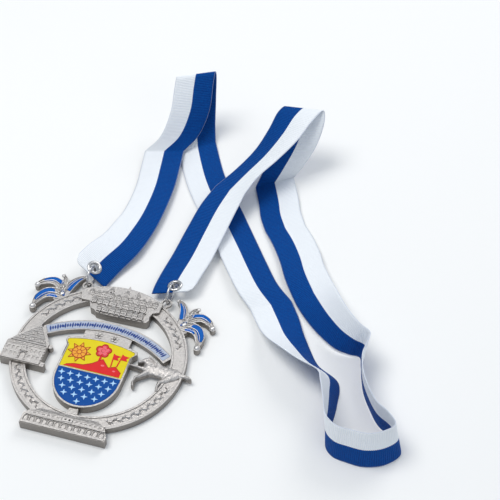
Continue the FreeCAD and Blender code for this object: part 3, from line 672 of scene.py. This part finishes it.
def town_scene(metal):
    """Three rows of houses on the upper plaque, two towers behind and bushes along its foot."""
    draw = random.Random(7)
    relief = Relief()
    base = FACE - DETAIL_SINK
    rows = [(35.0, -18.6, 18.4, 0.35), (30.3, -15.6, 16.0, 0.62), (25.5, -10.8, 15.4, 0.9)]
    for x, height in ((-7.6, 0.3), (6.4, 0.3), (0.6, 0.25)):
        relief.wall(x - 1.2, 36.0, 2.4, 4.0, base, FACE + height, 1, 2)
        relief.roof(x - 1.45, x + 1.45, 40.0, x - 0.1, x + 0.1, 2.6, base, FACE + height + 0.15, 3)
    for y, left, right, height in rows:
        x = left
        while x < right - 2.2:
            width = min(draw.uniform(2.7, 4.1), right - x)
            wall, rise = draw.uniform(1.9, 2.7), draw.uniform(1.5, 2.2)
            lift = height + draw.uniform(-0.1, 0.1)
            hip = draw.choice((0.5, 0.5, 0.28))
            relief.wall(x, y, width - 0.3, wall, base, FACE + lift, draw.choice((2, 3)), 1)
            relief.roof(x - 0.15, x + width - 0.15, y + wall, x + width * hip, x + width * (1 - hip),
                        rise, base, FACE + lift + 0.2, 3)
            if draw.random() < 0.5:
                chimney = x + width * draw.uniform(0.25, 0.6)
                relief.block(chimney, chimney + 0.45, y + wall, y + wall + rise + 0.3, base,
                             FACE + lift + 0.1)
            x += width
        for k in range(9):
            bush = left + (right - left) * (k + draw.uniform(0.2, 0.8)) / 9
            relief.dome(bush, y - 0.15, draw.uniform(0.45, 0.8), FACE - 0.1, height + 0.3, 10, 3)
    return relief.piece("town_scene", metal)


def gatehouse_scene(metal):
    """Gatehouse front: tiled roof with dormers, two storeys of windows, an arched door and quoins."""
    relief = Relief()
    base = FACE - DETAIL_SINK
    relief.wall(-45.5, -13.5, 7.9, 8.7, base, FACE + 0.45, 3, 2)
    relief.wall(-33.7, -13.5, 7.9, 8.7, base, FACE + 0.45, 3, 2)
    relief.wall(-37.6, -8.0, 3.9, 3.2, base, FACE + 0.45, 2, 1)
    arch_line = [(-37.1, -13.5)] + arc(-35.6, -10.0, 1.5, 180, 0, 10) + [(-34.1, -13.5)]
    relief.band(arch_line, 0.4, base, FACE + 0.75)
    relief.band(arc(-35.6, -10.0, 2.1, 180, 0, 10), 0.22, base, FACE + 0.6)
    for y, rise in ((-14.3, 0.65), (-4.9, 0.7), (-3.9, 0.5)):
        relief.block(-45.8, -25.5, y, y + 0.75, base, FACE + rise)
    for x in (-45.9, -38.0, -33.9, -26.1):
        for k in range(5):
            relief.block(x, x + 0.7 + 0.2 * (k % 2), -13.4 + 1.75 * k, -12.3 + 1.75 * k, base, FACE + 0.62)
    relief.roof(-44.6, -26.1, -3.0, -33.8, -33.0, 11.6, base, FACE + 0.75, 9)
    for x, y in ((-40.4, -1.6), (-35.6, -1.6), (-30.8, -1.6), (-35.6, 2.2)):
        relief.wall(x, y, 2.2, 1.5, base, FACE + 0.95, 1, 1)
        relief.roof(x - 0.25, x + 2.45, y + 1.5, x + 1.0, x + 1.2, 1.2, base, FACE + 1.05, 2)
    relief.dome(-33.4, 8.9, 0.6, FACE - 0.2, 0.8, 12, 4)
    return relief.piece("gatehouse_scene", metal)


def town_hall_scene(metal):
    """Long front: plinth, arcade, a row of windows and a tiled roof with a gable in its middle."""
    relief = Relief()
    base = FACE - DETAIL_SINK
    relief.block(-21.5, 19.9, -47.2, -46.3, base, FACE + 0.6)
    relief.block(-21.2, 19.6, -46.2, -45.7, base, FACE + 0.35)
    for k in range(13):
        x = -19.8 + 3.15 * k
        relief.band([(x - 1.1, -45.7)] + arc(x, -43.9, 1.1, 180, 0, 8) + [(x + 1.1, -45.7)], 0.3,
                    base, FACE + 0.55)
        relief.dome(x + 1.57, -42.9, 0.3, FACE - 0.1, 0.5, 8, 3)
    relief.block(-20.6, 19.2, -42.5, -42.0, base, FACE + 0.6)
    relief.wall(-18.4, -41.9, 36.2, 2.1, base, FACE + 0.4, 15, 1)
    relief.block(-18.8, 18.2, -39.9, -39.5, base, FACE + 0.6)
    relief.roof(-17.8, 17.0, -39.5, -14.4, 13.8, 1.9, base, FACE + 0.6, 3)
    relief.wall(-2.6, -41.9, 5.0, 2.6, base, FACE + 0.7, 2, 1)
    relief.roof(-3.0, 2.8, -39.3, -0.2, 0.0, 1.8, base, FACE + 0.85, 3)
    return relief.piece("town_hall_scene", metal)


def rim_vine(metal):
    """Waving stem with paired leaves and berries, cast in the rim's channel between the plaques."""
    relief = Relief()
    for start, finish in ((35.5, 63.5), (114.0, 152.5), (-153.0, -104.0), (-66.0, -38.0)):
        count = round((finish - start) / VINE_PITCH)
        pitch = (finish - start) / count
        turns = [start - 1.0 + (finish - start + 2.0) * k / 120 for k in range(121)]
        stem = [polar(RIM_MIDDLE + 0.5 * math.sin(math.radians((a - start) * 180 / pitch)), a)
                for a in turns]
        relief.band(stem, 0.22, RIM_FLOOR - 0.1, RIM_FLOOR + 0.5, tapers=True)
        for k in range(count + 1):
            flip = (-1) ** k
            for side in (-1, 1):
                x, y = polar(RIM_MIDDLE + 0.95 * side * flip, start + pitch * (k + 0.24 * side))
                vine_leaf(relief, x, y, 1.9, 0.95, start + pitch * k - 38 * flip * side)
            x, y = polar(RIM_MIDDLE - 1.3 * flip, start + pitch * k)
            relief.dome(x, y, 0.27, RIM_FLOOR - 0.1, 0.45, 8, 2)
    return relief.piece("rim_vine", metal, edge=0)


def vine_leaf(relief, x, y, length, width, turn):
    """Pointed leaf with a raised midrib."""
    low, high = RIM_FLOOR - 0.05, RIM_FLOOR + 0.62
    a = math.radians(turn)
    shares = (0.0, 0.2, 0.45, 0.7, 0.88, 1.0)
    halves = (0.0, 0.72, 1.0, 0.72, 0.35, 0.0)

    def place(along_leaf, side_step, z):
        px, py = (along_leaf - 0.5) * length, side_step * width / 2
        return (x + px * math.cos(a) - py * math.sin(a), y + px * math.sin(a) + py * math.cos(a), z)

    upper = [place(t, h, low) for t, h in zip(shares, halves)]
    lower = [place(t, -h, low) for t, h in zip(shares[1:-1], halves[1:-1])]
    rib = [place(t, 0, high - 0.25 * abs(2 * t - 1)) for t in shares[1:-1]]
    verts = upper + lower + rib
    up, low_side, mid = 0, 6, 10
    faces = [[up, mid, up + 1], [up, low_side, mid], [up + 5, up + 4, mid + 3],
             [up + 5, mid + 3, low_side + 3]]
    for k in range(3):
        faces.append([up + 1 + k, mid + k, mid + k + 1, up + 2 + k])
        faces.append([low_side + k, low_side + k + 1, mid + k + 1, mid + k])
    relief.add(verts, faces + [[0, 1, 2, 3, 4, 5, 9, 8, 7, 6]])


def horse_cast(metal):
    """Leaping horse: full rounded body, neck, head and limbs melted into one cast shape."""
    limbs = [
        # x, y, radius along each limb, thick end first
        [(39.5, -0.6, 3.5), (36.0, -0.6, 4.0), (32.0, -0.3, 3.9), (28.0, -0.2, 4.0), (26.2, 0.2, 3.5)],
        [(27.0, 0.8, 3.2), (25.0, 2.6, 2.6), (23.6, 3.9, 2.0)],
        [(23.8, 4.2, 1.7), (22.2, 3.1, 1.35), (20.9, 1.9, 0.95), (20.4, 1.5, 0.85)],
        [(24.2, 5.0, 0.7), (24.3, 6.2, 0.35)],
        [(26.0, -1.6, 2.0), (22.8, -1.4, 1.2), (20.0, -1.1, 0.85), (17.2, -1.2, 0.7), (16.2, -1.25, 0.8)],
        [(26.2, -2.4, 2.0), (23.6, -5.6, 1.2), (21.6, -7.4, 0.95), (21.2, -10.4, 0.75),
         (21.9, -12.4, 0.85)],
        [(38.6, -1.8, 3.0), (36.0, -4.8, 2.0), (33.6, -7.2, 1.15), (33.4, -10.4, 0.85),
         (33.8, -12.2, 0.95)],
        [(41.0, -0.4, 2.3), (43.6, -0.4, 1.4), (46.0, -0.8, 1.2), (47.4, -1.3, 0.8)],
    ]
    mane = [[(25.4 + 1.1 * k, 5.6 - 0.75 * k, 0.9), (26.6 + 1.2 * k, 5.4 - 0.85 * k, 0.45)]
            for k in range(5)]
    balls = bmesh.new()
    for limb in limbs + mane:
        for (x0, y0, r0), (x1, y1, r1) in zip(limb, limb[1:]):
            steps = max(2, int(math.hypot(x1 - x0, y1 - y0) / (0.5 * min(r0, r1))))
            for k in range(steps + 1):
                t = k / steps
                radius = r0 + (r1 - r0) * t
                place = Matrix.Translation((x0 + (x1 - x0) * t, y0 + (y1 - y0) * t, 2.6))
                flat = 2.6 / radius if radius > 2.6 else 1.0 if radius > 1.9 else 2.4 / radius
                rise = Matrix.Diagonal((1, 1, flat, 1))
                bmesh.ops.create_icosphere(balls, subdivisions=2, radius=radius, matrix=place @ rise)
    for vert in balls.verts:
        vert.co = vert.co * MM
    mesh = bpy.data.meshes.new("horse_cast")
    balls.to_mesh(mesh)
    balls.free()
    mesh.materials.append(metal)
    piece = bpy.data.objects.new("horse_cast", mesh)
    bpy.context.scene.collection.objects.link(piece)
    modifier(piece, "REMESH", mode="VOXEL", voxel_size=0.22 * MM)
    modifier(piece, "SMOOTH", factor=0.6, iterations=5)
    apply_modifiers(piece)
    for vert in piece.data.vertices:
        ripple = noise.noise(vert.co * 500) * 0.22 + noise.noise(vert.co * 1700) * 0.09
        vert.co += vert.normal * ripple * MM
    piece.data.shade_smooth()
    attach(piece, "medal")
    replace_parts(piece, "horse_relief")


def cap_place(points, right_hand):
    """Cap drawings are made on the left; the right one is their mirror image, turned a little."""
    if not right_hand:
        return points
    a = math.radians(RIGHT_CAP_TURN)
    return [(-x * math.cos(a) - y * math.sin(a), -x * math.sin(a) + y * math.cos(a)) for x, y in points]


def horn_line(points, widths, share):
    """Line along a horn at that share of its half width, to the right of its middle."""
    line = []
    for i, (x, y) in enumerate(points):
        before, after = points[max(i - 1, 0)], points[min(i + 1, len(points) - 1)]
        dx, dy = after[0] - before[0], after[1] - before[1]
        reach = widths[i] / 2 * share / math.hypot(dx, dy)
        line.append((x + dy * reach, y - dx * reach))
    return smooth_line(line)


def cap_ridges(name, right_hand, metal):
    """Bright ridges along the borders and the middle of each horn, with beads at the tips."""
    relief = Relief()
    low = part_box("left_cap_ornament")[1].z / MM - 0.4
    for points, widths in HORNS:
        for share, half, rise in RIDGES:
            line = cap_place(horn_line(points, widths, share), right_hand)
            relief.band(line, half, low, low + rise, tapers=True)
    beads = [(-46.2, 34.9, 1.45), (-43.4, 20.9, 1.6), (-35.4, 44.0, 0.95), (-23.6, 45.8, 0.8)]
    for x, y, radius in beads:
        (px, py), = cap_place([(x, y)], right_hand)
        relief.dome(px, py, radius, low - 0.2, radius * 0.9 + 0.2, 20, 7)
        relief.band(arc(px, py, radius * 0.98, 0, 345, 23), 0.16, low - 0.1, low + 0.5, closed=True)
    (x, y), = cap_place([(-32.0, 32.6)], right_hand)
    relief.dome(x, y, 1.3, low, 0.9, 18, 5)
    return relief.piece(name, metal, edge=0, smooth=True)


def tablet_rosettes(metal):
    """Two five-leaved rosettes on the tablet, between two thin ridges."""
    relief = Relief()
    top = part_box("banner_tablet")[1].z / MM
    for centre_x in TABLET_ROSETTES_X:
        for k in range(5):
            a = math.radians(90 + 72 * k)
            leaf_x = centre_x + 1.45 * math.cos(a)
            leaf_y = TABLET_ROSETTES_Y + 1.45 * math.sin(a)
            relief.dome(leaf_x, leaf_y, 0.92, top - 0.1, 0.6, 14, 4)
        relief.dome(centre_x, TABLET_ROSETTES_Y, 0.62, top - 0.1, 0.9, 14, 4)
    for y in (7.2, 16.2):
        relief.band([(-11.0, y), (0.2, y + 0.4), (11.4, y)], 0.22, top - 0.1, top + 0.25)
    return relief.piece("tablet_rosettes", metal, edge=0)


def sun_and_hill_lines(enamel_edge):
    """Deep red partitions that stand between the enamels of the upper field."""
    relief = Relief()
    low, high = FIELD - 0.1, FIELD + 0.3
    x, y = SUN_CENTRE
    for radius, half in ((3.6, 0.24), (1.2, 0.2)):
        relief.band(arc(x, y, radius, 0, 354, 59), half, low, high, closed=True)
    for k in range(8):
        a = math.tau * k / 8
        inner = (x + 1.4 * math.cos(a), y + 1.4 * math.sin(a))
        outer = (x + 3.5 * math.cos(a), y + 3.5 * math.sin(a))
        relief.band([inner, outer], 0.15, low, high)
        tip = (x + 6.0 * math.cos(a), y + 6.0 * math.sin(a))
        for side in (-1, 1):
            b = a + side * 0.24
            relief.band([(x + 3.9 * math.cos(b), y + 3.9 * math.sin(b)), tip], 0.16, low, high)
    crest = [(14.2, -7.7), (10.5, -4.7), (7.2, -6.1), (3.2, -1.9), (-1.2, -5.7), (-5.2, -7.7),
             (-9.6, -8.1), (-13.4, -9.4)]
    relief.band(crest, 0.2, low, high)
    x, y = TREE_CENTRE
    for k in range(5):
        a = 90 + 72 * k
        lobe_x, lobe_y = x + 2.3 * math.cos(math.radians(a)), y + 2.3 * math.sin(math.radians(a))
        relief.band(arc(lobe_x, lobe_y, 1.7, a - 84, a + 84, 20), 0.2, low, high)
        relief.band(arc(lobe_x, lobe_y, 0.9, a - 110, a + 60, 14), 0.14, low + 0.1, high + 0.05)
    relief.band(arc(x, y, 1.1, 20, 300, 20), 0.16, low + 0.1, high + 0.05)
    return relief.piece("sun_and_hill_lines", enamel_edge, edge=0)


def tree_leafage(enamel_fill):
    """Rose enamel puffs inside the tree's outline, and one patch on each hill."""
    relief = Relief()
    x, y = TREE_CENTRE
    relief.dome(x, y, 2.2, FIELD - 0.1, 0.42, 24, 4)
    for k in range(5):
        a = math.radians(90 + 72 * k)
        relief.dome(x + 2.3 * math.cos(a), y + 2.3 * math.sin(a), 1.55, FIELD - 0.1, 0.38, 20, 4)
    for hill_x, hill_y, reach in ((4.2, -5.6, 1.5), (10.6, -7.4, 1.2)):
        relief.dome(hill_x, hill_y, reach, FIELD - 0.1, 0.34, 18, 3, stretch=0.55)
    return relief.piece("tree_leafage", enamel_fill, edge=0, smooth=True)


def dress_cad_nodes(finishes):
    """Gives each CAD node that stays its material, and eases its edges."""
    for name, node in NODES.items():
        finish, edge = finishes.get(name, finishes["casting"])
        node.data.materials.clear()
        node.data.materials.append(finish)
        normals = node.data.attributes.get("custom_normal")
        if normals is not None:
            node.data.attributes.remove(normals)
        if edge:
            soften(node, edge)


# ---------------------------------------------------------------- studio

def area_light(name, place, size, power, colour):
    lamp = bpy.data.lights.new(name, "AREA")
    lamp.size = size
    lamp.energy = power
    lamp.color = colour
    holder = bpy.data.objects.new(name, lamp)
    holder.location = AIM + Vector(place)
    holder.rotation_euler = (-Vector(place)).to_track_quat("-Z", "Y").to_euler()
    bpy.context.scene.collection.objects.link(holder)


def studio():
    scene = bpy.context.scene
    scene.view_settings.view_transform = "Standard"
    half = 1.6
    corners = [(-half, -half, 0), (half, -half, 0), (half, half, 0), (-half, half, 0)]
    floor = add_mesh("floor", corners, [[0, 1, 2, 3]], floor_finish())
    world = bpy.data.worlds.new("studio")
    world.use_nodes = True
    sky = world.node_tree.nodes["Background"]
    sky.inputs["Color"].default_value = rgb(0.80, 0.89, 1.0)
    sky.inputs["Strength"].default_value = 0.46
    scene.world = world
    area_light("key", (-0.35, -0.1, 1.0), 0.5, 5.7, (1.0, 0.985, 0.95))
    area_light("back", (0.3, 0.8, 0.75), 0.6, 3.7, (1.0, 0.985, 0.96))
    area_light("fill", (0.9, -0.5, 0.6), 0.7, 1.0, (0.94, 0.97, 1.0))


def camera():
    data = bpy.data.cameras.new("camera")
    data.lens = LENS
    data.sensor_width = SENSOR
    data.clip_start, data.clip_end = 0.01, 20
    turn, tilt = math.radians(AZIMUTH), math.radians(ELEVATION)
    back = Vector((math.sin(turn) * math.cos(tilt), -math.cos(turn) * math.cos(tilt), math.sin(tilt)))
    holder = bpy.data.objects.new("camera", data)
    holder.location = AIM + back * DISTANCE
    holder.rotation_euler = (-back).to_track_quat("-Z", "Y").to_euler()
    bpy.context.scene.collection.objects.link(holder)
    bpy.context.scene.camera = holder


# ---------------------------------------------------------------- the medal

def build():
    cast = cast_metal("antique_silver", (0.68, 0.645, 0.62), (0.29, 0.27, 0.252), 0.00005, 0.38)
    polished = cast_metal("worn_silver", (0.86, 0.84, 0.83), (0.40, 0.38, 0.37), 0.00002, 0.3)
    nickel = bright_metal("nickel", (0.66, 0.65, 0.65))
    blue = enamel("blue_enamel", (0.001, 0.066, 0.30), (0.001, 0.04, 0.2))
    cap_blue = enamel("cap_blue_enamel", (0.001, 0.10, 0.42), (0.001, 0.06, 0.28))
    yellow = enamel("yellow_enamel", (0.74, 0.60, 0.012), (0.56, 0.43, 0.01))
    red = enamel("red_enamel", (0.68, 0.022, 0.022), (0.42, 0.01, 0.01))
    deep_red = enamel("deep_red_enamel", (0.46, 0.025, 0.02), (0.3, 0.01, 0.01))
    rose = enamel("rose_enamel", (0.80, 0.14, 0.17), (0.6, 0.05, 0.06))
    orange = enamel("orange_enamel", (0.82, 0.37, 0.04), (0.6, 0.2, 0.03))
    light_blue = enamel("light_blue_enamel", (0.42, 0.66, 0.95), (0.25, 0.48, 0.85))
    pale = enamel("pale_enamel", (0.43, 0.48, 0.59), (0.30, 0.34, 0.46))
    navy = enamel("navy_enamel", (0.035, 0.07, 0.26), (0.02, 0.04, 0.18))
    dress_cad_nodes({
        "casting": (cast, 0.22), "left_jump_ring": (nickel, 0), "right_jump_ring": (nickel, 0),
        "left_lug": (cast, 0.18), "right_lug": (cast, 0.18),
        "shield_upper_enamel": (yellow, 0.05), "shield_lower_enamel": (blue, 0.05),
        "shield_sun": (orange, 0.04), "shield_hills": (red, 0.04), "shield_stars": (light_blue, 0.04),
        "banner_enamel": (pale, 0.05), "banner_marks": (navy, 0.04),
        "left_cap_enamel": (cap_blue, 0.12), "right_cap_enamel": (cap_blue, 0.12),
    })
    left = turned_eyelet("left_eyelet_turned", EYELET_ROWS[0], nickel)
    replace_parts(left, "left_eyelet", "left_eyelet_washer")
    right = turned_eyelet("right_eyelet_turned", EYELET_ROWS[1], nickel)
    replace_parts(right, "right_eyelet", "right_eyelet_washer")
    ribbon_cloth(ribbon_cloth_finish())
    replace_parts(town_scene(cast), "town_houses")
    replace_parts(gatehouse_scene(cast), "gatehouse_details")
    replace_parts(town_hall_scene(cast), "town_hall_details")
    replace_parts(rim_vine(polished), "rim_relief")
    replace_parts(tablet_rosettes(cast), "tablet_studs")
    horse_cast(cast)
    sun_and_hill_lines(deep_red)
    tree_leafage(rose)
    for side, right_hand in (("left", False), ("right", True)):
        cap_ridges(side + "_cap_ridges", right_hand, polished)


build()
studio()
camera()
